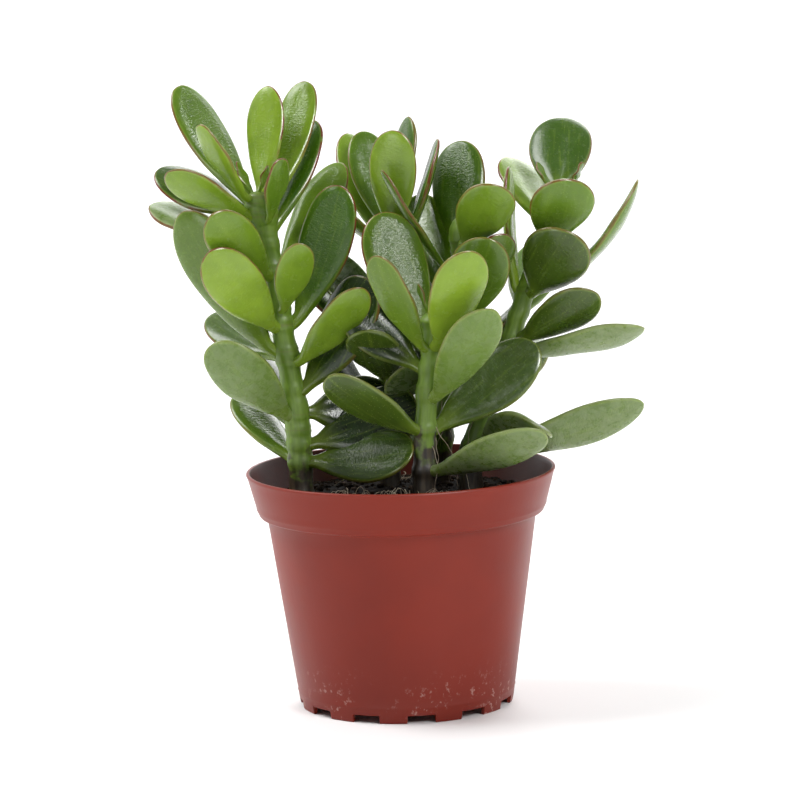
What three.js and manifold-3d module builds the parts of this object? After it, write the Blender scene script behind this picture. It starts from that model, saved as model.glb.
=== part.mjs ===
// Potted jade plant (Crassula ovata) in a round plastic nursery pot.
// Millimetres, +Z up. The origin is the centre of the circle that the pot stands on.
// The front of the plant is -Y and +X is to the right of somebody who faces it.
import * as THREE from "three";
import { mergeVertices } from "three/addons/utils/BufferGeometryUtils.js";
import Module from "manifold-3d";

const wasm = await Module();
wasm.setup();

// Pot
const RIM_RADIUS = 60;
const POT_HEIGHT = 92;
const FOOT_RADIUS = 41.5;
const BODY_TOP_RADIUS = 52.3;
const COLLAR_HEIGHT = 17;
const COLLAR_FOOT_RADIUS = 55.5;
const WALL = 1.4;
const FLOOR_LIFT = 3.5;
const FLOOR_THICKNESS = 1.5;
const LIP = 0.7;
const LEDGE_RISE = 2;
const POT_SIDES = 72;

// Foot notches and drain holes
const NOTCH_COUNT = 12;
const NOTCH_HEIGHT = 3;
const NOTCH_ANGLE = 15;
const NOTCH_DEPTH = 12;
const DRAIN_COUNT = 8;
const DRAIN_RADIUS = 4;
const DRAIN_CIRCLE = 27;
const DRAIN_SIDES = 12;

// Soil
const GAP = 0.3;
const SOIL_EDGE_DEPTH = 11;
const SOIL_MOUND = 3;
const SOIL_SLOPE = [
  { reach: 0.75, lift: 0.5 },
  { reach: 0.4, lift: 0.9 },
];
const SOIL_SIDES = 48;

// Plant
const STEM_SIDES = 10;
const STEM_RINGS = 12;
const STEM_END_SHARE = 0.02;
const LEAF_SIDES = 8;
const LEAF_THICKNESS_RATIO = 0.23;
const LEAF_STATIONS = [0.06, 0.16, 0.3, 0.46, 0.62, 0.76, 0.87, 0.95];
const BASE_CLEAR = 0.8;
const BASE_CLEAR_STEEP = 1.2;
const RING_THICKNESS = 1.4;
const RING_HEIGHT = 5;
const WIDEST_PLACE = { rise: 0.9, fall: 0.5 };

// Accuracy
const MERGE_DISTANCE = 1e-4;
const HALVING_STEPS = 24;

// Each stem: the points that its middle line goes through, from its buried end to its tip,
// and its radius at both ends.
const STEMS = {
  left: {
    points: [[-39, 4, 62], [-39, 4, 104], [-41, 3, 125], [-44, 2, 147], [-47, 1, 172], [-52, 0, 201]],
    radius: [4.8, 3.8],
  },
  front: {
    points: [[9, -18, 62], [9, -18, 90], [10, -18, 112], [12, -19, 133], [15, -20, 156]],
    radius: [4.6, 3.5],
  },
  back: {
    points: [[-4, 16, 62], [-4, 17, 110], [-2, 18, 150], [0, 19, 194]],
    radius: [4.4, 3],
  },
  middle: {
    points: [[13, 24, 62], [18, 18, 110], [23, 12, 150], [26, 8, 188]],
    radius: [4.3, 2.8],
  },
  right: {
    points: [[28, 4, 62], [28, 5, 98], [36, 7, 118], [47, 8, 149], [55, 8, 172], [66, 8, 202]],
    radius: [4.8, 3.2],
  },
};

// A leaf is [turn from the front towards the right, rise of the line from base to tip, length,
// width, roll about that line, upward curl], with its angles in degrees. Every place on a stem
// starts with its height. One leaf grows there by itself, or two opposite leaves that share a
// ring round the stem.
const SINGLE_LEAVES = {
  left: [
    [118, [-150, 20, 44, 21, 15, 15]],
    [135, [52, 43, 44, 17, 35, 15]],
    [139, [-80, 60, 64, 25, -55, 20]],
    [136, [-142, 16, 46, 20, 25, 15]],
    [150, [92, 71, 55, 22, -65, 15]],
    [149, [-36, 41, 50, 21, -50, 20]],
    [156, [18, 48, 37, 15, 0, 15]],
    [169, [-32, 36, 45, 19, -50, 15]],
    [172, [142, 44, 52, 18, -15, 10]],
    [181, [-111, 18, 46, 20, 15, 15]],
    [186, [150, 52, 50, 20, 10, 10]],
    [192, [-58, 29, 40, 17, -30, 15]],
    [192, [-118, 22, 44, 20, 30, 15]],
    [197, [-132, 51, 56, 20, 15, 10]],
    [194, [149, 58, 55, 18, 0, 10]],
    [199, [170, 68, 44, 17, 20, 10]],
    [199, [-56, 57, 35, 14, -5, 10]],
  ],
  front: [
    [94, [56, 20, 52, 20, 40, 10]],
    [123, [37, 47, 50, 21, 25, 15]],
    [142, [-38, 54, 47, 15, -15, 15]],
    [143, [24, 52, 49, 22, 5, 15]],
    [146, [-135, 66, 50, 25, 25, 10]],
  ],
  back: [
    [108, [160, 15, 40, 20, 0, 15]],
    [150, [-78, 36, 27, 16, 30, 15]],
    [152, [175, 35, 44, 20, 0, 15]],
    [178, [-70, 38, 22, 15, -10, 10]],
    [176, [-158, 48, 56, 20, -10, 10]],
    [176, [120, 68, 44, 16, 25, 10]],
    [190, [160, 68, 38, 17, 40, 10]],
  ],
  middle: [
    [120, [165, 20, 43, 22, 0, 15]],
    [140, [-165, 35, 40, 20, 0, 15]],
    [148, [25, 51, 44, 23, 35, 15]],
    [156, [50, 53, 33, 18, 25, 10]],
    [168, [-72, 58, 47, 12, 0, 10]],
    [176, [178, 58, 46, 23, 25, 10]],
    [178, [28, 43, 36, 22, 25, 10]],
  ],
  right: [
    [96, [90, 16, 64, 20, 55, 10]],
    [100, [35, 15, 40, 22, 30, -50]],
    [118, [160, 20, 50, 23, 0, 15]],
    [135, [69, 12, 52, 18, 35, 10]],
    [141, [57, 30, 38, 20, 45, 10]],
    [150, [165, 30, 46, 22, 0, 15]],
    [159, [30, 41, 38, 26, 40, 15]],
    [178, [20, 50, 34, 25, 10, 15]],
    [185, [-161, 34, 40, 20, -15, 10]],
    [196, [175, 42, 40, 25, 5, 10]],
  ],
};
const LEAF_PAIRS = {
  left: [
    [95, [60, 8, 46, 23, -50, 15], [-145, 30, 44, 18, 0, 15]],
    [114, [-50, 42, 47, 23, -40, 20], [100, 3, 34, 25, -75, 10]],
  ],
  front: [
    [110, [100, 37, 50, 24, -55, 15], [-57, 32, 46, 19, -35, 15]],
  ],
  back: [
    [126, [-12, 33, 42, 22, 0, 15], [168, 25, 40, 22, 0, 15]],
    [182, [8, 80, 41, 19, 25, 10], [-160, 54, 46, 18, 5, 10]],
  ],
  right: [
    [159, [92, 46, 58, 18, 15, 50], [-100, 88, 48, 18, 0, 10]],
    [198, [65, 60, 12, 6, 0, 10], [-115, 60, 12, 6, 0, 10]],
  ],
};

// Materials
const POT_COLOUR = 0x9c4a3a;
const SOIL_COLOUR = 0x2a1f1a;
const STEM_COLOUR = 0x5f7d38;
const OLD_LEAF_COLOUR = new THREE.Color(0x4f6f3c);
const YOUNG_LEAF_COLOUR = new THREE.Color(0x78b030);
const OLD_LEAF_HEIGHT = 100;
const YOUNG_LEAF_HEIGHT = 195;
const POT_ROUGHNESS = 0.45;
const SOIL_ROUGHNESS = 0.95;
const STEM_ROUGHNESS = 0.55;
const LEAF_ROUGHNESS = 0.4;

const plant = new THREE.Group();

function plainMaterial(colour, roughness) {
  return new THREE.MeshStandardMaterial({ color: colour, roughness, metalness: 0 });
}

function leafMaterial(height) {
  const age = THREE.MathUtils.smoothstep(height, OLD_LEAF_HEIGHT, YOUNG_LEAF_HEIGHT);
  const colour = OLD_LEAF_COLOUR.clone().lerp(YOUNG_LEAF_COLOUR, age);
  return plainMaterial(colour, LEAF_ROUGHNESS);
}

function addMesh(name, geometry, material) {
  const mesh = new THREE.Mesh(geometry, material);
  mesh.name = name;
  plant.add(mesh);
  return mesh;
}

// A closed solid from rings of points that run round the same way, with a point at both ends.
function ringSolid(start, rings, end) {
  const sides = rings[0].length;
  const points = [start, ...rings.flat(), end];
  const last = points.length - 1;
  const faces = [];
  const at = (ring, side) => 1 + ring * sides + (side % sides);
  for (let side = 0; side < sides; side += 1) {
    faces.push(0, at(0, side + 1), at(0, side));
    faces.push(last, at(rings.length - 1, side), at(rings.length - 1, side + 1));
    for (let ring = 0; ring + 1 < rings.length; ring += 1) {
      faces.push(at(ring, side), at(ring, side + 1), at(ring + 1, side));
      faces.push(at(ring, side + 1), at(ring + 1, side + 1), at(ring + 1, side));
    }
  }
  const geometry = new THREE.BufferGeometry().setFromPoints(points);
  geometry.setIndex(faces);
  geometry.computeVertexNormals();
  return geometry;
}

// Booleans
function solidFrom(geometry) {
  const bare = geometry.clone();
  bare.deleteAttribute("normal");
  bare.deleteAttribute("uv");
  const merged = mergeVertices(bare, MERGE_DISTANCE);
  const vertProperties = merged.attributes.position.array;
  const triVerts = new Uint32Array(merged.index.array);
  return new wasm.Manifold(new wasm.Mesh({ numProp: 3, vertProperties, triVerts }));
}

function geometryFrom(solid) {
  const { vertProperties, triVerts } = solid.getMesh();
  const geometry = new THREE.BufferGeometry();
  geometry.setAttribute("position", new THREE.BufferAttribute(new Float32Array(vertProperties), 3));
  geometry.setIndex(new THREE.BufferAttribute(new Uint32Array(triVerts), 1));
  geometry.computeVertexNormals();
  return geometry;
}

// A profile of [radius, height] points turned round the Z axis.
function turned(profile, sides) {
  const points = profile.map(([radius, height]) => new THREE.Vector2(radius, height));
  const geometry = new THREE.LatheGeometry(points, sides);
  geometry.rotateX(Math.PI / 2);
  return geometry;
}

// Pot: a thin shell that tapers to its foot, with a collar round the top
const COLLAR_BASE = POT_HEIGHT - COLLAR_HEIGHT;
const FLOOR_TOP = FLOOR_LIFT + FLOOR_THICKNESS;

function bodyRadius(height) {
  return THREE.MathUtils.lerp(FOOT_RADIUS, BODY_TOP_RADIUS, height / COLLAR_BASE);
}

function collarRadius(height) {
  const part = (height - COLLAR_BASE) / COLLAR_HEIGHT;
  return THREE.MathUtils.lerp(COLLAR_FOOT_RADIUS, RIM_RADIUS, part);
}

// The inside of the pot from its floor to its rim.
function innerProfile() {
  return [
    [bodyRadius(FLOOR_TOP) - WALL, FLOOR_TOP],
    [bodyRadius(COLLAR_BASE) - WALL, COLLAR_BASE],
    [collarRadius(COLLAR_BASE + LEDGE_RISE) - WALL, COLLAR_BASE + LEDGE_RISE],
    [collarRadius(POT_HEIGHT) - WALL, POT_HEIGHT - LIP],
  ];
}

function potShell() {
  const profile = [
    [0, FLOOR_LIFT],
    [bodyRadius(FLOOR_LIFT) - WALL, FLOOR_LIFT],
    [bodyRadius(0) - WALL, 0],
    [bodyRadius(0), 0],
    [bodyRadius(COLLAR_BASE), COLLAR_BASE],
    [collarRadius(COLLAR_BASE) - LIP, COLLAR_BASE],
    [collarRadius(COLLAR_BASE), COLLAR_BASE + LIP],
    [RIM_RADIUS, POT_HEIGHT - LIP],
    [RIM_RADIUS - LIP, POT_HEIGHT],
    ...innerProfile().reverse(),
    [0, FLOOR_TOP],
  ];
  return solidFrom(turned(profile, POT_SIDES));
}

function footNotch(index) {
  const width = 2 * FOOT_RADIUS * Math.sin(THREE.MathUtils.degToRad(NOTCH_ANGLE / 2));
  const notch = new THREE.BoxGeometry(width, NOTCH_DEPTH, 2 * NOTCH_HEIGHT);
  notch.translate(0, -FOOT_RADIUS, 0);
  notch.rotateZ(THREE.MathUtils.degToRad(NOTCH_ANGLE / 2 + (360 / NOTCH_COUNT) * index));
  return solidFrom(notch);
}

function drainHole(index) {
  const depth = 4 * FLOOR_THICKNESS;
  const hole = new THREE.CylinderGeometry(DRAIN_RADIUS, DRAIN_RADIUS, depth, DRAIN_SIDES);
  hole.rotateX(Math.PI / 2);
  hole.translate(0, -DRAIN_CIRCLE, FLOOR_LIFT);
  hole.rotateZ(THREE.MathUtils.degToRad((360 / DRAIN_COUNT) * index));
  return solidFrom(hole);
}

function buildPot() {
  let pot = potShell();
  for (let index = 0; index < NOTCH_COUNT; index += 1) pot = pot.subtract(footNotch(index));
  for (let index = 0; index < DRAIN_COUNT; index += 1) pot = pot.subtract(drainHole(index));
  addMesh("pot", geometryFrom(pot), plainMaterial(POT_COLOUR, POT_ROUGHNESS));
}

// Stems
function stemCurve(stem) {
  return new THREE.CatmullRomCurve3(stem.points.map((point) => new THREE.Vector3(...point)));
}

// A stem as rings that stay level with the ground, since every stem stands nearly upright.
function stemGeometry(stem, extra) {
  const curve = stemCurve(stem);
  const rings = [];
  for (let ring = 0; ring < STEM_RINGS; ring += 1) {
    const part = THREE.MathUtils.lerp(STEM_END_SHARE, 1 - STEM_END_SHARE, ring / (STEM_RINGS - 1));
    const middle = curve.getPoint(part);
    const radius = THREE.MathUtils.lerp(...stem.radius, part) + extra;
    const points = [];
    for (let side = 0; side < STEM_SIDES; side += 1) {
      const angle = (2 * Math.PI * side) / STEM_SIDES;
      points.push(new THREE.Vector3(radius * Math.cos(angle), radius * Math.sin(angle), 0).add(middle));
    }
    rings.push(points);
  }
  const below = curve.getPoint(0).add(new THREE.Vector3(0, 0, -extra));
  return ringSolid(below, rings, curve.getPoint(1));
}

function buildStems() {
  for (const [name, stem] of Object.entries(STEMS)) {
    addMesh(`stem_${name}`, stemGeometry(stem, 0), plainMaterial(STEM_COLOUR, STEM_ROUGHNESS));
  }
}

// Soil: fills the pot to just under its rim, a little higher in the middle
function buildSoil() {
  const edge = POT_HEIGHT - SOIL_EDGE_DEPTH;
  const [floor, shoulder, ledge] = innerProfile();
  const edgeRadius = collarRadius(edge) - WALL - GAP;
  const profile = [
    [0, floor[1] + GAP],
    [floor[0] - GAP, floor[1] + GAP],
    [shoulder[0] - GAP, shoulder[1]],
    [ledge[0] - GAP, ledge[1] + GAP],
    [edgeRadius, edge],
    ...SOIL_SLOPE.map(({ reach, lift }) => [reach * edgeRadius, edge + lift * SOIL_MOUND]),
    [0, edge + SOIL_MOUND],
  ];
  let soil = solidFrom(turned(profile, SOIL_SIDES));
  for (const stem of Object.values(STEMS)) soil = soil.subtract(solidFrom(stemGeometry(stem, GAP)));
  addMesh("soil", geometryFrom(soil), plainMaterial(SOIL_COLOUR, SOIL_ROUGHNESS));
}

// The place on a stem's middle line at a given height, with the stem's radius there.
function stemAt(stem, height) {
  const curve = stemCurve(stem);
  let low = 0;
  let high = 1;
  for (let step = 0; step < HALVING_STEPS; step += 1) {
    const middle = (low + high) / 2;
    if (curve.getPoint(middle).z < height) low = middle;
    else high = middle;
  }
  return { point: curve.getPoint(low), radius: THREE.MathUtils.lerp(...stem.radius, low) };
}

// Half of a leaf's width at a part of its length, as a share of the widest half: a slim base,
// the widest place past the middle, and a round tip.
function outline(part) {
  const { rise, fall } = WIDEST_PLACE;
  const peak = rise / (rise + fall);
  return (part ** rise * (1 - part) ** fall) / (peak ** rise * (1 - peak) ** fall);
}

// Half of a leaf's thickness at a part of its length, as a share of the thickest half: blunt at
// both ends.
function thickness(part) {
  return Math.sqrt(1 - (2 * part - 1) ** 4);
}

// A leaf along +X from its base at the origin, upper face towards +Z. The middle line is a
// shallow arc that sags below the line from base to tip.
function leafGeometry(length, width, curl) {
  const slope = Math.tan(THREE.MathUtils.degToRad(curl / 2));
  const rings = LEAF_STATIONS.map((part) => {
    const lean = Math.atan(-slope * (1 - 2 * part));
    const halfWidth = (width / 2) * outline(part);
    const halfThickness = (width / 2) * LEAF_THICKNESS_RATIO * thickness(part);
    const points = [];
    for (let side = 0; side < LEAF_SIDES; side += 1) {
      const angle = (2 * Math.PI * side) / LEAF_SIDES;
      const up = halfThickness * Math.sin(angle);
      points.push(
        new THREE.Vector3(
          length * part - up * Math.sin(lean),
          halfWidth * Math.cos(angle),
          -slope * length * part * (1 - part) + up * Math.cos(lean),
        ),
      );
    }
    return points;
  });
  return ringSolid(new THREE.Vector3(0, 0, 0), rings, new THREE.Vector3(length, 0, 0));
}

// Where a leaf's base is: on the side of the stem that the leaf points to, clear of its bark.
function placeLeaf(mesh, place, [turn, rise, , , roll], clear) {
  const heading = THREE.MathUtils.degToRad(turn - 90);
  const out = place.radius + clear;
  mesh.position.copy(place.point);
  mesh.position.x += out * Math.cos(heading);
  mesh.position.y += out * Math.sin(heading);
  mesh.rotation.set(
    -THREE.MathUtils.degToRad(roll),
    -THREE.MathUtils.degToRad(rise),
    heading,
    "ZYX",
  );
}

function addSingleLeaf(name, stem, [height, leaf]) {
  const [, rise, length, width, , curl] = leaf;
  const mesh = addMesh(name, leafGeometry(length, width, curl), leafMaterial(height));
  const clear = GAP + BASE_CLEAR + BASE_CLEAR_STEEP * Math.sin(THREE.MathUtils.degToRad(rise));
  placeLeaf(mesh, stemAt(stem, height), leaf, clear);
}

// The ring round the stem that two opposite leaves share, still solid in the middle.
function sharedRing(place) {
  const radius = place.radius + RING_THICKNESS;
  const ring = new THREE.CylinderGeometry(radius, radius, RING_HEIGHT, 2 * LEAF_SIDES);
  ring.rotateX(Math.PI / 2);
  ring.translate(place.point.x, place.point.y, place.point.z);
  return solidFrom(ring);
}

function addLeafPair(name, stem, [height, ...leaves]) {
  const place = stemAt(stem, height);
  let pair = sharedRing(place);
  for (const leaf of leaves) {
    const [, , length, width, , curl] = leaf;
    const mesh = new THREE.Mesh(leafGeometry(length, width, curl));
    placeLeaf(mesh, place, leaf, GAP);
    mesh.updateMatrix();
    pair = pair.add(solidFrom(mesh.geometry.applyMatrix4(mesh.matrix)));
  }
  pair = pair.subtract(solidFrom(stemGeometry(stem, GAP)));
  addMesh(name, geometryFrom(pair), leafMaterial(height));
}

function buildLeaves(kind, places, add) {
  for (const [stem, rows] of Object.entries(places)) {
    rows.forEach((row, index) => {
      add(`${kind}_${stem}_${String(index + 1).padStart(2, "0")}`, STEMS[stem], row);
    });
  }
}

buildPot();
buildSoil();
buildStems();
buildLeaves("leaf", SINGLE_LEAVES, addSingleLeaf);
buildLeaves("pair", LEAF_PAIRS, addLeafPair);

export default plant;
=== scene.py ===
# Looks for the potted jade plant: fine leaves, stems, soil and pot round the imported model.
# Blender works in metres, so sizes given in millimetres are multiplied by MM.
import math
import random
import zlib

import bpy
import numpy as np
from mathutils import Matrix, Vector, noise


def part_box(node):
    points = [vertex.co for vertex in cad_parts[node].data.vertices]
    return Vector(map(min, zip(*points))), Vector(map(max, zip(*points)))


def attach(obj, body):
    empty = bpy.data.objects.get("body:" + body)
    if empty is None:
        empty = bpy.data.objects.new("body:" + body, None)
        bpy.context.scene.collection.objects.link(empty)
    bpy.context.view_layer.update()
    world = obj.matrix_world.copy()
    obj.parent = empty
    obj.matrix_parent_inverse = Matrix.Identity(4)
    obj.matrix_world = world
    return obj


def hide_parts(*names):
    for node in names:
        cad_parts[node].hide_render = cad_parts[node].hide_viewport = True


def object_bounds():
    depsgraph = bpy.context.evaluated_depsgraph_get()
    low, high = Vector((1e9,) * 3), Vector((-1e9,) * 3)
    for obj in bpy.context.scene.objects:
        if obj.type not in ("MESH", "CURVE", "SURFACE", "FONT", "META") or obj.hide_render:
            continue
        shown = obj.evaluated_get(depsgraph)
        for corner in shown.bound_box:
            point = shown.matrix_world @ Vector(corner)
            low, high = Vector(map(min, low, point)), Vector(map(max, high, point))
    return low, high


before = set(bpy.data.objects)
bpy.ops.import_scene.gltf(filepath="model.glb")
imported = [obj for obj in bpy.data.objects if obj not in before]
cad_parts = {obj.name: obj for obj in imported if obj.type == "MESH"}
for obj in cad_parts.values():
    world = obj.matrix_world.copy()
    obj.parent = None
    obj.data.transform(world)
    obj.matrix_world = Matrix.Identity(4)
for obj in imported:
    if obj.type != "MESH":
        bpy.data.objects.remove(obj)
CAD_LOW, CAD_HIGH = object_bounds()
_, POT_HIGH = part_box("pot")
SOIL_LOW, SOIL_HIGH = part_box("soil")
MM = 0.001
UP = np.array([0.0, 0.0, 1.0])
NEARLY_A_TURN = 6.28
STEM_NAMES = ("left", "front", "back", "middle", "right")

# Leaf shape
LEAF_STATIONS = 40
STALK_STATIONS = 9
LEAF_SIDES = 28
STALK_END = 0.08
STALK_BITE = 1.2 * MM
OUTLINE_RISE = 0.9
OUTLINE_FALL = 0.5
THICKNESS_SHARE = 0.23
STALK_HALF = 2.6 * MM
STALK_SHARE = 0.13
LEAF_TWIST = 7
UPPER_FULLNESS = 3.2
LOWER_FULLNESS = 2.3
LOWER_DEPTH = 1.08
GROOVE_WIDTH = 0.2
GROOVE_DEPTH = 0.22
BLADE_END = 0.9995
SKIN_DEPTH = 0.16 * MM
SKIN_LUMPS = 7 * MM
UNDERSIDE_SHIFT = 25.0
LEAF_ANGLES = 2 * math.pi * np.arange(LEAF_SIDES) / LEAF_SIDES
LEAF_COSINE, LEAF_SINE = np.cos(LEAF_ANGLES), np.sin(LEAF_ANGLES)

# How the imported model's leaves and pairs are made
CAD_RING_HALF = 2.5 * MM
CAD_RING_EDGE = 1.8 * MM
CAD_GAP = 0.3 * MM
CAD_WIDE_STATION = 0.62
CAD_STATION_REACH = 0.07

# The leaves whose look is known: age from 0 to 1, tone from -1 (dark) to 1 (light), pale bloom
# and wrinkled gloss from 0 to 1. The others get theirs from their height and at random.
# A tone near -1 is partly painted shade: it darkens leaves that sit deep in the plant or behind
# others.
LEAF_LOOKS = {
    "leaf_left_02": (0.15, 0.3, 0.0, 0.2),
    "leaf_left_03": (0.3, -0.2, 0.05, 0.2),
    "leaf_left_05": (0.1, -0.7, 0.0, 0.8),
    "leaf_left_06": (0.0, 0.9, 0.05, 0.2),
    "leaf_left_07": (0.0, 0.1, 0.0, 0.2),
    "leaf_left_08": (0.0, 0.0, 0.0, 0.2),
    "leaf_left_09": (0.1, 0.0, 0.0, 0.3),
    "leaf_left_10": (0.5, 0.5, 0.6, 0.2),
    "leaf_left_12": (0.0, 0.3, 0.0, 0.2),
    "leaf_left_13": (0.3, -0.6, 0.0, 0.4),
    "leaf_left_14": (0.0, -0.3, 0.0, 0.6),
    "leaf_left_15": (0.0, 0.1, 0.0, 0.6),
    "leaf_left_16": (0.0, 0.6, 0.0, 0.2),
    "leaf_left_17": (0.0, 1.0, 0.0, 0.2),
    "leaf_front_01": (0.9, 0.4, 0.6, 0.4),
    "leaf_front_02": (0.7, 0.5, 0.3, 0.3),
    "leaf_front_03": (0.3, 0.0, 0.0, 0.2),
    "leaf_front_04": (0.0, 0.7, 0.0, 0.2),
    "leaf_front_05": (0.3, -0.2, 0.0, 0.7),
    "leaf_back_02": (0.9, 0.0, 0.3, 0.9),
    "leaf_back_05": (0.0, 0.3, 0.0, 0.2),
    "leaf_middle_03": (0.2, -0.5, 0.0, 0.2),
    "leaf_middle_04": (0.3, 0.0, 0.1, 0.2),
    "leaf_middle_06": (0.2, -0.6, 0.0, 0.6),
    "leaf_middle_07": (0.0, 0.1, 0.0, 0.2),
    "leaf_right_01": (0.9, 0.6, 0.6, 0.5),
    "leaf_right_04": (0.8, 0.7, 0.9, 0.4),
    "leaf_right_05": (0.6, -1.0, 0.0, 0.2),
    "leaf_right_07": (0.6, -1.0, 0.0, 0.2),
    "leaf_right_08": (0.0, -0.3, 0.0, 0.2),
    "leaf_right_10": (0.2, -0.7, 0.0, 0.2),
    "pair_front_01": (0.8, -0.8, 0.0, 0.4),
    "pair_front_01_second": (0.8, -0.2, 0.1, 0.3),
    "pair_left_01": (0.6, 0.1, 0.0, 0.4),
    "pair_left_01_second": (0.6, -0.4, 0.0, 0.4),
    "pair_left_02": (0.8, 0.5, 0.4, 0.3),
    "pair_left_02_second": (0.9, -1.0, 0.0, 0.2),
    "pair_back_01": (0.9, -1.0, 0.0, 0.2),
    "pair_back_02": (0.0, 0.5, 0.0, 0.2),
    "pair_right_01": (0.1, 0.4, 0.0, 0.3),
    "extra_leaf_back_07": (0.9, 0.3, 0.5, 0.8),
    "extra_leaf_back_03": (0.8, -0.9, 0.0, 0.3),
    "extra_leaf_left_01": (0.8, -1.0, 0.0, 0.3),
    "extra_leaf_left_05": (0.6, -0.8, 0.0, 0.3),
    "extra_leaf_front_04": (0.8, -0.7, 0.0, 0.3),
}
PLAIN_WRINKLE = 0.2
OLD_HEIGHT = 0.4 * CAD_HIGH.z
YOUNG_HEIGHT = 0.68 * CAD_HIGH.z


# ---- reading the frame
def node_points(node):
    """The corners of a CAD node and, for each of its edges, the two corners that it joins."""
    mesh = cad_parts[node].data
    raw = np.zeros(3 * len(mesh.vertices), np.float32)
    mesh.vertices.foreach_get("co", raw)
    ends = np.zeros(2 * len(mesh.edges), np.int32)
    mesh.edges.foreach_get("vertices", ends)
    rounded = raw.reshape(-1, 3).astype(float).round(6)
    points, which = np.unique(rounded, axis=0, return_inverse=True)
    return points, which.reshape(-1)[ends].reshape(-1, 2)


def measure_stem(name):
    """The level rings of a CAD stem from its foot up: each ring's middle and radius."""
    points, _ = node_points("stem_" + name)
    points = points[points[:, 2].argsort()]
    breaks = np.flatnonzero(np.diff(points[:, 2]) > 0.2 * MM) + 1
    rings = []
    for ring in np.split(points, breaks):
        middle = ring.mean(axis=0)
        radius = np.linalg.norm(ring[:, :2] - middle[:2], axis=1).mean()
        rings.append([*middle, radius])
    return np.array(rings)


def along_stem(stem, height):
    """The middle and the radius of a stem at a height, smooth between its rings."""
    heights = stem[:, 2]
    index = int(np.clip(np.searchsorted(heights, height) - 1, 0, len(heights) - 2))
    span = heights[index + 1] - heights[index]
    part = float(np.clip((height - heights[index]) / span, 0, 1))
    slopes = np.gradient(stem, heights, axis=0) * span
    square = part * part
    cube = square * part
    blend = stem[index] * (2 * cube - 3 * square + 1) + stem[index + 1] * (3 * square - 2 * cube)
    blend = blend + slopes[index] * (cube - 2 * square + part) + slopes[index + 1] * (cube - square)
    return blend[:3], float(blend[3])


def far_ends(points, axis_point):
    """The two corners of a leaf that are furthest apart, the one nearer the stem first."""
    apart = np.linalg.norm(points[:, None] - points[None], axis=2)
    first, second = np.unravel_index(apart.argmax(), apart.shape)
    ends = [points[first], points[second]]
    ends.sort(key=lambda end: np.linalg.norm((end - axis_point(end[2]))[:2]))
    return ends


def measure_leaf(points, base, tip):
    """A CAD leaf as its base, its three directions, its length, width and sag."""
    length = np.linalg.norm(tip - base)
    along = (tip - base) / length
    offset = points - base
    part = offset @ along / length
    ring = offset[np.abs(part - CAD_WIDE_STATION) < CAD_STATION_REACH]
    flat = ring - ring.mean(axis=0)
    flat = flat - np.outer(flat @ along, along)
    _, axes = np.linalg.eigh(flat.T @ flat)
    across = axes[:, 2]
    face = np.cross(along, across)
    if face[2] < 0:
        across, face = -across, -face
    side = np.abs(offset @ across)
    widest = ring.mean(axis=0)
    place = float(widest @ along) / length
    sag = -float(widest @ face) / (length * place * (1 - place))
    width = 2 * side.max()
    return {
        "base": base, "along": along, "across": across, "face": face,
        "length": length, "width": width, "sag": sag,
    }


def connected_groups(count, edges, kept):
    """The kept corners in groups that edges join."""
    neighbours = {index: [] for index in range(count) if kept[index]}
    for first, second in edges:
        if kept[first] and kept[second]:
            neighbours[first].append(second)
            neighbours[second].append(first)
    groups = []
    seen = set()
    for start in neighbours:
        if start in seen:
            continue
        group, waiting = [], [start]
        seen.add(start)
        while waiting:
            index = waiting.pop()
            group.append(index)
            for other in neighbours[index]:
                if other not in seen:
                    seen.add(other)
                    waiting.append(other)
        groups.append(group)
    return sorted(groups, key=len, reverse=True)


def measure_pair(node, stem):
    """The two leaves of a CAD pair, and the height of the ring that joins them."""
    points, edges = node_points(node)
    levels, counts = np.unique(points[:, 2].round(5), return_counts=True)
    height = float(levels[counts.argsort()[-2:]].mean())
    middle, radius = along_stem(stem, height)
    away = np.linalg.norm(points[:, :2] - middle[:2], axis=1)
    in_ring = (away < radius + CAD_RING_EDGE) & (np.abs(points[:, 2] - height) < 1.1 * CAD_RING_HALF)
    leaves = []
    for group in connected_groups(len(points), edges, ~in_ring)[:2]:
        own = points[group]
        tip = own[np.linalg.norm(own - middle, axis=1).argmax()]
        heading = unit((own.mean(axis=0) - middle) * (1, 1, 0))
        base = middle + heading * (radius + CAD_GAP)
        leaves.append(measure_leaf(own, base, tip))
    return leaves, height


# ---- leaf shape
def outline(part):
    """Half of a leaf's width at a part of its length, as a share of the widest half."""
    peak = OUTLINE_RISE / (OUTLINE_RISE + OUTLINE_FALL)
    top = peak**OUTLINE_RISE * (1 - peak) ** OUTLINE_FALL
    inside = np.clip(part, 0, 1)
    return inside**OUTLINE_RISE * (1 - inside) ** OUTLINE_FALL / top


def smooth_step(value, low, high):
    part = np.clip((value - low) / (high - low), 0, 1)
    return part * part * (3 - 2 * part)


def unit(vectors):
    return vectors / np.linalg.norm(vectors, axis=-1, keepdims=True)


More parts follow.
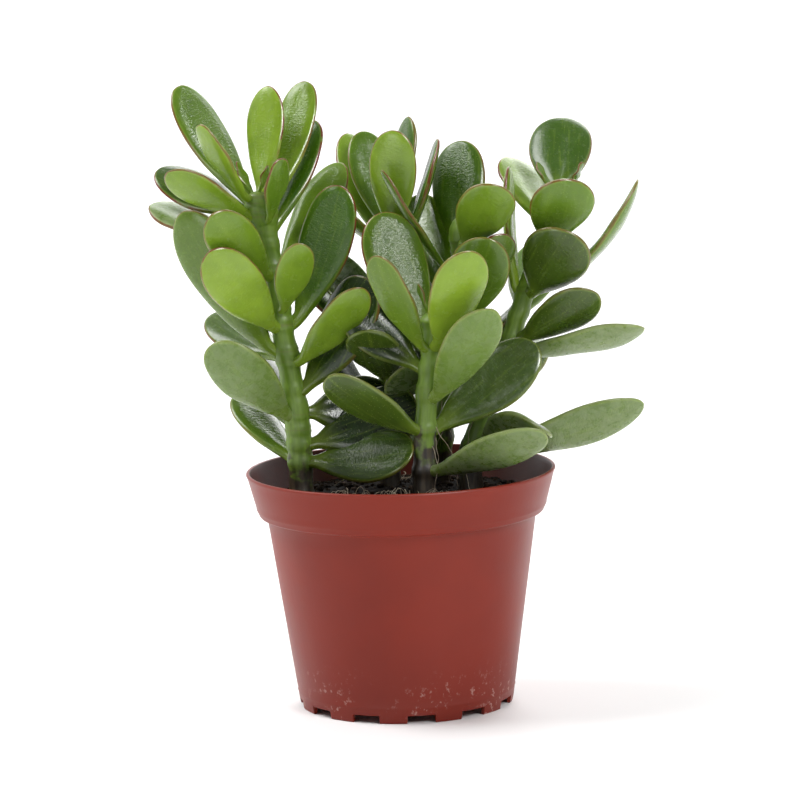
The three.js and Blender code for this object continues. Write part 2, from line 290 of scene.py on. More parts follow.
def middle_line(leaf, root):
    """Points down the middle of a leaf from inside its stem to its tip, with the part of the
    blade's length at each."""
    length, sag = leaf["length"], leaf["sag"]

    def blade(part):
        drop = -sag * length * part * (1 - part)
        return leaf["base"] + np.outer(length * part, leaf["along"]) + np.outer(drop, leaf["face"])

    reach = np.linalg.norm(leaf["base"] - root) / length
    joint = blade(np.array([STALK_END]))[0]
    heading = unit(blade(np.array([STALK_END + 0.01]))[0] - joint)
    handle = joint - heading * 0.5 * np.linalg.norm(joint - root)
    step = np.linspace(0, 1, STALK_STATIONS, endpoint=False)[:, None]
    stalk = root * (1 - step) ** 2 + handle * 2 * step * (1 - step) + joint * step**2
    stalk_part = -reach + (STALK_END + reach) * step[:, 0]
    spread = 1 - (1 - np.linspace(0, 1, LEAF_STATIONS)) ** 2
    blade_part = STALK_END + (BLADE_END - STALK_END) * spread
    return np.vstack([stalk, blade(blade_part)]), np.concatenate([stalk_part, blade_part])


def leaf_directions(line, part, leaf, rng):
    """The directions across and out of a leaf's face along its middle line, slightly twisted."""
    tangent = unit(np.gradient(line, axis=0))
    twist = math.radians(rng.uniform(-LEAF_TWIST, LEAF_TWIST))
    turn = twist * (part - 0.3)[:, None]
    across = leaf["across"] * np.cos(turn) + leaf["face"] * np.sin(turn)
    across = unit(across - tangent * (across * tangent).sum(axis=1, keepdims=True))
    return across, np.cross(tangent, across)


def leaf_sizes(part, width):
    """Half of the width and of the thickness along a leaf, from a round stalk to a thin tip."""
    stalk = min(STALK_HALF, STALK_SHARE * width) * (1 - smooth_step(part, 0.15, 0.4))
    half = 0.5 * width * outline(part)
    half = (half**3 + stalk**3) ** (1 / 3)
    thick = THICKNESS_SHARE * 0.5 * width * smooth_step(part, -0.15, 0.3)
    thick = (thick**3 + (0.75 * stalk) ** 3) ** (1 / 3) * np.sqrt(1 - np.clip(part, 0, 1) ** 4.5)
    return half, thick


def leaf_section(part, half, thick, blade, cup, rng):
    """How far each point round a leaf is to the side and out of its face: a plump section with
    a shallow groove down its face, wavy edges and a slight cup."""
    lean = rng.uniform(-0.05, 0.05)
    wave = rng.uniform(0.2, 0.55) * MM
    phase = rng.uniform(0, NEARLY_A_TURN)
    waves = rng.uniform(1.2, 2.2)
    cosine, sine = LEAF_COSINE, LEAF_SINE
    side = np.where(cosine > 0, 1 + lean, 1 - lean) * cosine
    upper = np.sqrt(np.clip(1 - np.abs(cosine) ** UPPER_FULLNESS, 0, 1))
    lower = -LOWER_DEPTH * np.sqrt(np.clip(1 - np.abs(cosine) ** LOWER_FULLNESS, 0, 1))
    lift = np.where(sine >= 0, upper, lower)
    groove = np.where(sine > 0, 1, 0) * np.exp(-((cosine / GROOVE_WIDTH) ** 2))

    y = half[:, None] * side[None]
    z = thick[:, None] * lift[None]
    z = z - GROOVE_DEPTH * thick[:, None] * groove[None] * blade[:, None]
    ripple = wave * np.sin(2 * math.pi * waves * part + phase) * smooth_step(part, 0.1, 0.4)
    z = z + ripple[:, None] * (np.abs(cosine) ** 2)[None] * np.sign(cosine + 1e-9)[None]
    bowl = cup * smooth_step(part, 0.1, 0.5)
    z = z + bowl[:, None] * (cosine**2)[None] * outline(part)[:, None]
    return y, z


def roughen(points, face, blade, shift):
    """Moves the skin of a leaf's blade in and out a little."""
    out = np.where(LEAF_SINE >= 0, 1.0, -1.0)
    for row in range(len(points)):
        for column in range(LEAF_SIDES):
            place = Vector(points[row, column] / SKIN_LUMPS) + Vector((shift, 0, 0))
            amount = SKIN_DEPTH * noise.noise(place) * float(blade[row])
            points[row, column] += face[row] * amount * out[column]


def leaf_surface(leaf, root, traits):
    """The points of a fine leaf as rings round its middle line, with what its material needs."""
    rng = random.Random(traits["seed"])
    line, part = middle_line(leaf, root)
    length, width = leaf["length"], leaf["width"]
    across, face = leaf_directions(line, part, leaf, rng)
    half, thick = leaf_sizes(part, width)
    blade = smooth_step(part, 0.0, 0.25) * (1 - smooth_step(part, 0.75, 1.0))
    y, z = leaf_section(part, half, thick, blade, traits["cup"] * width, rng)
    points = line[:, None] + across[:, None] * y[..., None] + face[:, None] * z[..., None]
    shift = rng.uniform(0, 50)
    roughen(points, face, blade, shift)

    slope = np.gradient(half, part * length)
    inward = half[:, None] - np.abs(half[:, None] * LEAF_COSINE[None])
    rim = inward / np.sqrt(1 + slope**2)[:, None]
    outward = np.repeat((part * length)[:, None], LEAF_SIDES, 1) / MM + shift
    layer = np.repeat(np.where(LEAF_SINE >= 0, 0.0, UNDERSIDE_SHIFT)[None], len(part), 0)
    place = np.stack([outward, y / MM, layer], axis=-1)
    along = np.repeat(part[:, None], LEAF_SIDES, 1)
    top = np.repeat(smooth_step(LEAF_SINE, -0.3, 0.3)[None], len(part), 0)
    return points, {"rim": rim / MM, "along": along, "top": top, "place": place}


def tube_faces(rows, sides, start=0):
    """Faces of a closed tube of rings, with a point at each end after the rings."""
    faces = []
    first, last = start + rows * sides, start + rows * sides + 1
    for row in range(rows - 1):
        for side in range(sides):
            after = (side + 1) % sides
            low, high = start + row * sides, start + (row + 1) * sides
            faces.append((low + side, low + after, high + after, high + side))
    top = start + (rows - 1) * sides
    for side in range(sides):
        after = (side + 1) % sides
        faces.append((start + after, start + side, first))
        faces.append((top + side, top + after, last))
    return faces


def new_mesh_object(name, points, faces, attributes=()):
    mesh = bpy.data.meshes.new(name)
    mesh.from_pydata([tuple(point) for point in points], [], faces)
    for key, values in dict(attributes).items():
        vector = values.ndim == 2
        kind = "FLOAT_VECTOR" if vector else "FLOAT"
        layer = mesh.attributes.new(key, kind, "POINT")
        layer.data.foreach_set("vector" if vector else "value", values.astype(np.float32).ravel())
    mesh.shade_smooth()
    mesh.update()
    piece = bpy.data.objects.new(name, mesh)
    bpy.context.scene.collection.objects.link(piece)
    return piece


def dress(piece, material):
    """Gives a piece its material and the body that it rides on."""
    piece.data.materials.append(material)
    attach(piece, "root")


def closed_rings(rings, values):
    """Ring points as one list with a point at both ends, and the values that go with them."""
    ends = [rings[0].mean(axis=0), rings[-1].mean(axis=0)]
    points = np.vstack([rings.reshape(-1, 3), *ends])
    spread = {}
    for key, value in values.items():
        flat = value.reshape(-1, value.shape[-1]) if value.ndim == 3 else value.ravel()
        first, last = value[0].mean(axis=0), value[-1].mean(axis=0)
        spread[key] = np.concatenate([flat, [first], [last]])
    return points, spread


def leaf_traits(name, height):
    """What sets one leaf apart: its own seed, and its look."""
    seed = zlib.crc32(name.encode())
    rng = random.Random(seed + 1)
    age = 1 - float(smooth_step(height, OLD_HEIGHT, YOUNG_HEIGHT))
    bloom = rng.uniform(0.1, 0.5) * float(smooth_step(age, 0.3, 0.9))
    usual = (age, rng.uniform(-0.9, 0.2), bloom, PLAIN_WRINKLE)
    age, tone, bloom, wrinkle = LEAF_LOOKS.get(name, usual)
    return {
        "seed": seed,
        "nature": (age, tone, bloom),
        "wrinkle": wrinkle,
        "blush": rng.uniform(0.5, 1),
        "cup": rng.uniform(-0.015, 0.02),
    }


def build_leaf_piece(name, leaves, height):
    """One piece from one or two leaves."""
    points, faces, values = [], [], {}
    start = 0
    for (leaf, root), suffix in zip(leaves, ("", "_second")):
        traits = leaf_traits(name + suffix, height)
        rings, own = leaf_surface(leaf, root, traits)
        flat, spread = closed_rings(rings, own)
        spread["nature"] = np.tile(traits["nature"], (len(flat), 1))
        spread["blush"] = np.full(len(flat), traits["blush"])
        spread["wrinkle"] = np.full(len(flat), traits["wrinkle"])
        faces += tube_faces(len(rings), LEAF_SIDES, start)
        points.append(flat)
        start += len(flat)
        for key, value in spread.items():
            values.setdefault(key, []).append(value)
    joined = {key: np.concatenate(value) for key, value in values.items()}
    return new_mesh_object("fine_" + name, np.vstack(points), faces, joined)


def root_of(leaf, stem):
    """Where a leaf's stalk starts, a little inside its stem."""
    middle, radius = along_stem(stem, leaf["base"][2])
    heading = unit((leaf["base"] - middle) * (1, 1, 0))
    steep = leaf["along"][2]
    return middle + heading * (radius - STALK_BITE) - UP * 1.5 * MM * steep


# ---- materials
def paint(red, green, blue):
    """A colour given as screen values from 0 to 255, as the linear values that a shader takes."""
    shares = [value / 255 for value in (red, green, blue)]
    linear = [s / 12.92 if s <= 0.04045 else ((s + 0.055) / 1.055) ** 2.4 for s in shares]
    return (*linear, 1)


class Recipe:
    """A short way to write the nodes of a material or a world."""

    def __init__(self, owner):
        self.owner = owner
        owner.use_nodes = True
        self.tree = owner.node_tree

    def put(self, socket, value):
        if isinstance(value, bpy.types.NodeSocket):
            self.tree.links.new(value, socket)
        else:
            socket.default_value = value

    def attribute(self, name, output="Fac"):
        node = self.tree.nodes.new("ShaderNodeAttribute")
        node.attribute_name = name
        return node.outputs[output]

    def parts(self, vector):
        node = self.tree.nodes.new("ShaderNodeSeparateXYZ")
        self.put(node.inputs[0], vector)
        return node.outputs

    def own_place(self, kind="Object"):
        return self.tree.nodes.new("ShaderNodeTexCoord").outputs[kind]

    def stretched(self, place, factors):
        node = self.tree.nodes.new("ShaderNodeVectorMath")
        node.operation = "MULTIPLY"
        self.put(node.inputs[0], place)
        node.inputs[1].default_value = factors
        return node.outputs[0]

    def noise(self, place, scale, detail=2.0, roughness=0.5):
        node = self.tree.nodes.new("ShaderNodeTexNoise")
        self.put(node.inputs["Vector"], place)
        node.inputs["Scale"].default_value = scale
        node.inputs["Detail"].default_value = detail
        node.inputs["Roughness"].default_value = roughness
        return node.outputs["Fac"]

    def cells(self, place, scale):
        node = self.tree.nodes.new("ShaderNodeTexVoronoi")
        self.put(node.inputs["Vector"], place)
        node.inputs["Scale"].default_value = scale
        return node.outputs["Distance"]

    def step(self, value, low, high, start=0.0, end=1.0):
        node = self.tree.nodes.new("ShaderNodeMapRange")
        node.interpolation_type = "SMOOTHSTEP"
        for socket, entry in zip(node.inputs, (value, low, high, start, end)):
            self.put(socket, entry)
        return node.outputs[0]

    def combine(self, operation, first, second):
        node = self.tree.nodes.new("ShaderNodeMath")
        node.operation = operation
        self.put(node.inputs[0], first)
        self.put(node.inputs[1], second)
        return node.outputs[0]

    def mix(self, factor, first, second):
        node = self.tree.nodes.new("ShaderNodeMix")
        node.data_type = "RGBA"
        self.put(node.inputs[0], factor)
        self.put(node.inputs[6], first)
        self.put(node.inputs[7], second)
        return node.outputs[2]

    def blend(self, factor, first, second):
        """A plain number between two others."""
        node = self.tree.nodes.new("ShaderNodeMix")
        self.put(node.inputs[0], factor)
        self.put(node.inputs[2], first)
        self.put(node.inputs[3], second)
        return node.outputs[0]

    def bump(self, height, distance, under=None):
        node = self.tree.nodes.new("ShaderNodeBump")
        node.inputs["Distance"].default_value = distance
        self.put(node.inputs["Height"], height)
        if under is not None:
            self.put(node.inputs["Normal"], under)
        return node.outputs[0]

    def finish(self, colour, roughness, normal=None, **plain):
        shader = self.tree.nodes["Principled BSDF"]
        self.put(shader.inputs["Base Color"], colour)
        self.put(shader.inputs["Roughness"], roughness)
        if normal is not None:
            self.put(shader.inputs["Normal"], normal)
        for key, value in plain.items():
            shader.inputs[key.replace("_", " ")].default_value = value
        return self.owner


def leaf_material():
    made = Recipe(bpy.data.materials.new("jade_leaf"))
    place = made.attribute("place", "Vector")
    rim = made.attribute("rim")
    along = made.attribute("along")
    top = made.attribute("top")
    age, tone, bloom = made.parts(made.attribute("nature", "Vector"))
    blush = made.attribute("blush")
    wrinkle = made.attribute("wrinkle")

    # The tone sets how dark each leaf's green is: its own shade of green and, on the darkest deep
    # leaves, painted shade.
    young = made.mix(made.step(tone, -1, 1), paint(58, 96, 8), paint(138, 168, 44))
    middle = made.mix(made.step(tone, -1, 1), paint(24, 44, 5), paint(106, 140, 36))
    old = made.mix(made.step(tone, -1, 1), paint(17, 31, 6), paint(86, 110, 42))
    colour = made.mix(made.step(age, 0.0, 0.5), young, middle)
    colour = made.mix(made.step(age, 0.5, 1.0), colour, old)

    clouds = made.noise(place, 0.11, 3.0)
    colour = made.mix(made.step(clouds, 0.35, 0.75, 0.0, 0.3), colour, paint(48, 80, 10))
    streaks = made.noise(made.stretched(place, (0.06, 0.7, 1)), 1.0, 2.0)
    colour = made.mix(made.step(streaks, 0.5, 0.8, 0.0, 0.16), colour, paint(160, 186, 70))
    colour = made.mix(made.step(along, 0.3, -0.02, 0.0, 0.5), colour, paint(134, 158, 48))
    under = made.step(top, 1.0, 0.0, 0.0, 0.2)
    colour = made.mix(under, colour, paint(128, 158, 52))

    dots = made.step(made.cells(place, 0.9), 0.10, 0.2, 0.3, 0.0)
    colour = made.mix(dots, colour, paint(170, 190, 104))
    film = made.step(made.noise(place, 0.3, 5.0, 0.7), 0.25, 0.75, 0.1, 0.8)
    film = made.combine("MULTIPLY", film, bloom)
    colour = made.mix(film, colour, paint(156, 168, 134))

    far = made.step(along, 0.12, 0.35)
    pale = made.combine("MULTIPLY", made.step(rim, 1.2, 0.4, 0.0, 0.28), far)
    colour = made.mix(pale, colour, paint(160, 180, 84))
    patches = made.step(made.noise(place, 0.16, 2.0), 0.28, 0.5)
    outer = made.combine("MULTIPLY", blush, made.step(along, 0.2, 0.6))
    patches = made.combine("MULTIPLY", patches, outer)
    patches = made.combine("MULTIPLY", patches, made.step(age, 0.9, 0.35, 0.12, 1.0))
    line = made.combine("MULTIPLY", made.step(rim, 0.6, 0.2), patches)
    colour = made.mix(line, colour, paint(116, 44, 28))

    wrinkles = made.noise(made.stretched(place, (1.25, 0.55, 1)), 1.0, 3.0, 0.6)
    inside = made.step(rim, 1.6, 4.2, 0.12, 1.0)
    relief = made.combine("MULTIPLY", wrinkles, made.combine("MULTIPLY", inside, wrinkle))
    normal = made.bump(relief, 0.7 * MM)
    fine = made.noise(place, 3.2, 2.0)
    normal = made.bump(fine, 0.012 * MM, normal)

    gloss = made.step(made.noise(place, 0.3, 3.0), 0.3, 0.7, 0.2, 0.3)
    gloss = made.combine("SUBTRACT", gloss, made.combine("MULTIPLY", wrinkle, 0.08))
    roughness = made.blend(film, gloss, 0.6)
    return made.finish(
        colour, roughness, normal,
        Subsurface_Weight=0.15, Subsurface_Scale=0.0014,
        Subsurface_Radius=(0.6, 1.0, 0.1), Specular_IOR_Level=0.45,
    )


def stem_material():
    made = Recipe(bpy.data.materials.new("jade_stem"))
    place = made.attribute("place", "Vector")
    up = made.attribute("along")
    node = made.attribute("node")
    grain = made.noise(made.stretched(place, (0.1, 0.8, 1)), 1.0, 3.0, 0.5)
    green = made.mix(made.step(grain, 0.3, 0.7), paint(92, 122, 28), paint(112, 142, 38))
    bark = made.mix(made.step(grain, 0.3, 0.7), paint(34, 26, 16), paint(72, 60, 40))
    ragged = made.combine("ADD", up, made.step(made.noise(place, 0.2, 3.0), 0.3, 0.7, -0.5, 0.5))
    colour = made.mix(made.step(ragged, -0.4, 0.4), bark, green)
    colour = made.mix(made.step(node, 0.55, 0.95, 0.0, 0.35), colour, paint(112, 108, 52))
    normal = made.bump(grain, 0.1 * MM)
    normal = made.bump(made.noise(place, 2.2, 3.0), 0.02 * MM, normal)
    roughness = made.step(grain, 0.3, 0.7, 0.38, 0.5)
    return made.finish(
        colour, roughness, normal,
        Subsurface_Weight=0.08, Subsurface_Scale=0.0012, Subsurface_Radius=(0.6, 1.0, 0.2),
    )


def pot_material():
    made = Recipe(bpy.data.materials.new("pot_plastic"))
    place = made.own_place()
    _, _, height = made.parts(place)
    clouds = made.noise(place, 22, 3.0)
    colour = made.mix(made.step(clouds, 0.3, 0.7), paint(120, 29, 8), paint(129, 33, 10))
    # Painted shade: the pot is darkened towards its foot.
    low = made.step(height, 0.0, 0.5 * POT_HIGH.z, 0.35, 0.0)
    colour = made.mix(low, colour, paint(104, 24, 7))
    # Painted shade: the pot's inner wall is darkened, as the shade inside its opening.
    inside = made.attribute("inside")
    colour = made.mix(made.combine("MULTIPLY", inside, 0.8), colour, paint(70, 24, 15))
    scratches = made.noise(made.stretched(place, (1, 1, 0.8)), 420, 5.0, 0.7)
    dust = made.noise(place, 45, 4.0, 0.6)
    near_foot = made.step(height, 0.26 * POT_HIGH.z, 0.06 * POT_HIGH.z)
    scuff = made.combine("MULTIPLY", made.step(scratches, 0.56, 0.66), made.step(dust, 0.42, 0.58))
    scuff = made.combine("MULTIPLY", scuff, near_foot)
    colour = made.mix(made.combine("MULTIPLY", scuff, 0.5), colour, paint(206, 176, 166))
    normal = made.bump(made.noise(place, 900, 2.0), 0.02 * MM)
    normal = made.bump(made.noise(place, 60, 2.0), 0.12 * MM, normal)
    roughness = made.step(clouds, 0.3, 0.7, 0.36, 0.44)
    roughness = made.blend(scuff, roughness, 0.75)
    return made.finish(colour, roughness, normal, Specular_IOR_Level=0.3)


def soil_material(name, dark, light):
    made = Recipe(bpy.data.materials.new(name))
    place = made.own_place()
    grains = made.noise(place, 900, 6.0, 0.7)
    clumps = made.noise(place, 180, 4.0, 0.6)
    colour = made.mix(made.step(clumps, 0.35, 0.7), dark, light)
    specks = made.step(made.cells(place, 700), 0.16, 0.08, 0.0, 0.45)
    colour = made.mix(specks, colour, paint(104, 82, 58))
    normal = made.bump(grains, 0.8 * MM)
    return made.finish(colour, 0.93, normal, Specular_IOR_Level=0.1)


def fibre_material():
    made = Recipe(bpy.data.materials.new("root_fibre"))
    place = made.own_place()
    tone = made.noise(place, 160, 3.0)
    colour = made.mix(made.step(tone, 0.3, 0.7), paint(196, 184, 164), paint(128, 110, 88))
    normal = made.bump(made.noise(place, 2500, 2.0), 0.05 * MM)
    return made.finish(colour, 0.8, normal, Specular_IOR_Level=0.3)


# ---- stems
# The height in millimetres up to which each stem has brown bark, and how gradually it ends
BARK_TOPS = {"left": 94, "front": 106, "back": 108, "middle": 100, "right": 98}
BARK_FADE = 15 * MM
STEM_SIDES = 28
STEM_STEP = 0.8 * MM
STEM_ROUNDING = 3 * MM
STEM_LUMPS = 5 * MM
STEM_ROUGHNESS = 0.22 * MM
SWELLING = 0.75 * MM
SWELLING_REACH = 2.2 * MM
CREASE = 0.25 * MM
CREASE_REACH = 0.45 * MM


def build_stem(name, stem, heights, material):
    """A stem with a swelling and a thin groove at each height where leaves grow."""
    rng = random.Random(zlib.crc32(name.encode()))
    foot = SOIL_LOW.z + 0.75 * (SOIL_HIGH.z - SOIL_LOW.z)
    top = stem[-1][2]
    rows = int((top - foot) / STEM_STEP)
    angle = 2 * math.pi * np.arange(STEM_SIDES) / STEM_SIDES
    shift = rng.uniform(0, 30)
    rings, node_values = [], []
    for row in range(rows):
        height = foot + (top - foot) * (1 - (1 - row / (rows - 1)) ** 1.15)
        middle = along_stem(stem, height)[0]
        radius = along_stem(stem, min(height, stem[-2][2]))[1]
        cap = math.sqrt(max(0.02, 1 - max(0, 1 - (top - height) / STEM_ROUNDING) ** 2))
        swell = sum(math.exp(-(((height - place) / SWELLING_REACH) ** 2)) for place in heights)
        crease = sum(math.exp(-(((height - place) / CREASE_REACH) ** 2)) for place in heights)
        width = radius * cap + SWELLING * min(1, swell) - CREASE * min(1, crease)
        ring = []
        for turn in angle:
            level = height / STEM_LUMPS + shift
            rough = noise.noise(Vector((math.cos(turn) * 1.3, math.sin(turn) * 1.3, level)))
            reach = width + STEM_ROUGHNESS * rough
            ring.append(middle + np.array([math.cos(turn) * reach, math.sin(turn) * reach, 0]))
        rings.append(ring)
        node_values.append(np.full(STEM_SIDES, min(1, crease)))
    rings = np.array(rings)
    above_bark = (rings[..., 2] - BARK_TOPS[name] * MM) / BARK_FADE
    round_place = np.tile(angle * 4.0, (rows, 1))
    layer = np.full((rows, STEM_SIDES), shift)
    place = np.stack([rings[..., 2] / MM, round_place, layer], axis=-1)
    values = {"along": above_bark, "node": np.array(node_values), "place": place}
    points, spread = closed_rings(rings, values)
    piece = new_mesh_object("fine_stem_" + name, points, tube_faces(rows, STEM_SIDES), spread)
    dress(piece, material)
    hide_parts("stem_" + name)


# ---- pot
# The radii and the collar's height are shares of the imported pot's, 60 mm in radius and 92 mm tall
POT_RADIUS = POT_HIGH.x
POT_TALL = POT_HIGH.z
FOOT_RADIUS = 41.5 / 60 * POT_RADIUS
BODY_TOP_RADIUS = 52.3 / 60 * POT_RADIUS
COLLAR_FOOT_RADIUS = 55.5 / 60 * POT_RADIUS
COLLAR_FOOT = 75 / 92 * POT_TALL
WALL = 1.4 * MM
NOTCH_COUNT = 12
NOTCH_ANGLE = 15
NOTCH_TALL = 3 * MM
FLOOR_UNDER = 3.5 * MM
FLOOR_TOP = 5 * MM
DRAIN_COUNT = 8
DRAIN_RADIUS = 4 * MM
DRAIN_CIRCLE = 27 * MM
DRAIN_SIDES = 28
FOOT_ROUND = 0.5 * MM
RIDGE_HEIGHT = 6.2 * MM
LEDGE_ROUND = 1.3 * MM
CHAMFER_RISE = 2.4 * MM
BEAD_FALL = 1.5 * MM
RIM_ROUND = 0.75 * MM
SHARP_ANGLE = 38


def body_radius(height):
    return FOOT_RADIUS + (BODY_TOP_RADIUS - FOOT_RADIUS) * height / COLLAR_FOOT


def collar_radius(height):
    part = (height - COLLAR_FOOT) / (POT_TALL - COLLAR_FOOT)
    return COLLAR_FOOT_RADIUS + (POT_RADIUS - COLLAR_FOOT_RADIUS) * part


def arc(middle, radius, start, end, count):
    """Points on part of a circle, as [radius, height] with angles in degrees."""
    turns = np.radians(np.linspace(start, end, count))
    return [(middle[0] + radius * math.cos(t), middle[1] + radius * math.sin(t)) for t in turns]


def pot_profile():
    """The pot's outline from the middle of its underside, up its outside and down its inside."""
    inner_foot = body_radius(FLOOR_UNDER) - WALL
    profile = [(2 * MM, FLOOR_UNDER), (0.6 * inner_foot, FLOOR_UNDER), (inner_foot, FLOOR_UNDER)]
    profile += [(inner_foot, 1.5 * MM), (body_radius(0) - WALL, 0.3 * MM)]
    profile += arc((body_radius(0) - FOOT_ROUND, FOOT_ROUND), FOOT_ROUND, -90, 0, 4)
    ridge = RIDGE_HEIGHT
    profile += [(body_radius(h), h) for h in (2.9 * MM, 4 * MM, ridge - 0.5 * MM)]
    profile += [(body_radius(ridge) + 0.12 * MM, ridge), (body_radius(ridge), ridge + 0.5 * MM)]
    profile += [(body_radius(h), h) for h in np.linspace(0.14, 0.985, 14) * COLLAR_FOOT]
    profile += [(body_radius(COLLAR_FOOT) + 0.35 * MM, COLLAR_FOOT - 0.15 * MM)]
    ledge = (collar_radius(COLLAR_FOOT) - LEDGE_ROUND, COLLAR_FOOT + LEDGE_ROUND)
    profile += arc(ledge, LEDGE_ROUND, -80, -8, 6)
    chamfer = COLLAR_FOOT + CHAMFER_RISE
    profile += [(collar_radius(chamfer) - 0.02 * MM, chamfer)]
    profile += [(collar_radius(chamfer + 0.5 * MM) + 0.1 * MM, chamfer + 0.5 * MM)]
    bead = POT_TALL - BEAD_FALL
    heights = np.linspace(chamfer + 1.2 * MM, bead - 0.5 * MM, 7)
    profile += [(collar_radius(h) - 0.05 * MM, h) for h in heights]
    profile += [(collar_radius(bead) + 0.05 * MM, bead)]
    profile += arc((POT_RADIUS - RIM_ROUND, POT_TALL - RIM_ROUND), RIM_ROUND, 0, 165, 9)
    inside = (POT_TALL - 2 * MM, COLLAR_FOOT + 3 * MM)
    profile += [(collar_radius(h) - WALL, h) for h in inside]
    profile += [(collar_radius(COLLAR_FOOT) - WALL - 0.6 * MM, COLLAR_FOOT + 1.2 * MM)]
    profile += [(body_radius(h) - WALL, h) for h in (COLLAR_FOOT - MM, 0.5 * COLLAR_FOOT)]
    profile += [(body_radius(FLOOR_TOP) - WALL - MM, FLOOR_TOP + MM)]
    profile += [(body_radius(FLOOR_TOP) - WALL - 2 * MM, FLOOR_TOP), (2 * MM, FLOOR_TOP)]
    return profile


def pot_columns():
    """The turns at which the pot's profile stands, in degrees, and whether each is in a notch."""
    columns = []
    pitch = 360 / NOTCH_COUNT
    edge = 0.12
    for index in range(NOTCH_COUNT):
        start = index * pitch
        columns += [(start + turn, True) for turn in np.linspace(edge, NOTCH_ANGLE - edge, 9)]
        rest = np.linspace(NOTCH_ANGLE + edge, pitch - edge, 9)
        columns += [(start + turn, False) for turn in rest]
    return columns


def build_pot(material):
    """The pot: its profile all round, with notches in its foot and holes in its floor."""
    profile = pot_profile()
    rim = max(range(len(profile)), key=lambda row: profile[row][1])
    points = []
    columns = pot_columns()
    for degrees, notched in columns:
        turn = math.radians(degrees) - math.pi / 2
        for radius, height in profile:
            if notched and height < 1.1 * NOTCH_TALL:
                height = NOTCH_TALL + 0.1 * height
            points.append((radius * math.cos(turn), radius * math.sin(turn), height))
    rows, count = len(profile), len(columns)
    faces = []
    for column in range(count):
        after = (column + 1) % count
        for row in range(rows):
            up = (row + 1) % rows
            near, far = column * rows, after * rows
            faces.append((near + row, far + row, far + up, near + up))
    # Marks the inner wall, which the pot's material darkens as painted shade.
    inside = np.tile(np.arange(rows) > rim + 2, count).astype(float)
    piece = new_mesh_object("fine_pot", points, faces, {"inside": inside})
    piece.data.set_sharp_from_angle(angle=math.radians(SHARP_ANGLE))
    drill_pot(piece)
    dress(piece, material)
    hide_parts("pot")


def drill_pot(piece):
    """Cuts the round drain holes through the pot's floor."""
    points, faces = [], []
    sides = DRAIN_SIDES
    for hole in range(DRAIN_COUNT):
        turn = 2 * math.pi * hole / DRAIN_COUNT - math.pi / 2
        middle = np.array([math.cos(turn), math.sin(turn)]) * DRAIN_CIRCLE
        start = len(points)
        for height in (FLOOR_UNDER - 2 * MM, FLOOR_TOP + 2 * MM):
            for side in range(sides):
                angle = 2 * math.pi * side / sides
                around = middle + DRAIN_RADIUS * np.array([math.cos(angle), math.sin(angle)])
                points.append((*around, height))
        for side in range(sides):
            after = (side + 1) % sides
            faces.append((start + side, start + after, start + sides + after, start + sides + side))
        faces.append(tuple(start + side for side in reversed(range(sides))))
        faces.append(tuple(start + sides + side for side in range(sides)))
    cutter = new_mesh_object("drain_cutter", points, faces)
    cut = piece.modifiers.new("drain", "BOOLEAN")
    cut.object = cutter
    cut.operation = "DIFFERENCE"
    graph = bpy.context.evaluated_depsgraph_get()
    drilled = bpy.data.meshes.new_from_object(piece.evaluated_get(graph))
    piece.modifiers.clear()
    piece.data = drilled
    bpy.data.objects.remove(cutter)


# ---- soil
SOIL_EDGE = SOIL_HIGH.z - 3 * MM
SOIL_SIDES = 150
SOIL_TOP_RINGS = 62
CRUMB_CORNERS = 12
THREAD_SIDES = 5
CRUMB_SEED = 11
BARK_SEED = 12
THREAD_SEED = 21

# Tufts of root fibres: (x, y, spread, count, highest loop), in millimetres
FIBRE_TUFTS = [
    (-16, -34, 7, 70, 8), (0, -36, 5, 34, 8), (-30, -22, 5, 14, 4),
    (22, -32, 7, 24, 7), (32, -24, 5, 12, 4), (-8, 34, 9, 20, 2),
]

# Thin air roots: (stem, height in millimetres, turn from the front to the right in degrees)
AIR_ROOTS = [
    ("front", 112, 60), ("front", 108, 95), ("front", 104, 40), ("right", 112, -60),
    ("back", 118, 10), ("back", 112, 60), ("middle", 116, -30), ("middle", 110, 0),
]


def pot_inside(height):
    if height > COLLAR_FOOT + 2 * MM:
        return collar_radius(height) - WALL
    return body_radius(height) - WALL


def soil_top(x, y):
    """The height of the soil's rough surface at a place."""
    share = min(1, math.hypot(x, y) / pot_inside(SOIL_EDGE))
    rise = (SOIL_HIGH.z - SOIL_EDGE) * (1 - share**2)
    lumps = noise.noise(Vector((x, y, 0)) / (11 * MM)) * 1.1 * MM
    clods = noise.noise(Vector((x, y, 0.03)) / (3.2 * MM)) * 0.8 * MM
    grains = noise.noise(Vector((x, y, 0.05)) / (1.3 * MM)) * 0.35 * MM
    return SOIL_EDGE + rise - 1.3 * MM + lumps + clods + grains


def build_soil(material):
    """The soil from the pot's floor up: level rings on its side, then rings over its top."""
    angle = 2 * math.pi * np.arange(SOIL_SIDES) / SOIL_SIDES
    rings = []
    for height in (FLOOR_TOP + 0.2 * MM, 0.5 * COLLAR_FOOT, COLLAR_FOOT - MM):
        reach = body_radius(height) - WALL - 0.2 * MM
        rings.append([(math.cos(t) * reach, math.sin(t) * reach, height) for t in angle])
    edge = pot_inside(SOIL_EDGE) - 0.1 * MM
    for share in np.linspace(1, 0.02, SOIL_TOP_RINGS):
        reach = edge * share
        flat = [(math.cos(t) * reach, math.sin(t) * reach) for t in angle]
        rings.append([(x, y, soil_top(x, y)) for x, y in flat])
    points, _ = closed_rings(np.array(rings), {})
    piece = new_mesh_object("fine_soil", points, tube_faces(len(rings), SOIL_SIDES))
    dress(piece, material)
    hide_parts("soil")


def even_crumb():
    """The twelve corners of an even crumb, an icosahedron."""
    golden = (1 + 5**0.5) / 2
    corners = []
    for a in (-1, 1):
        for b in (-golden, golden):
            corners += [(0, a, b), (a, b, 0), (b, 0, a)]
    return np.array(corners, float)


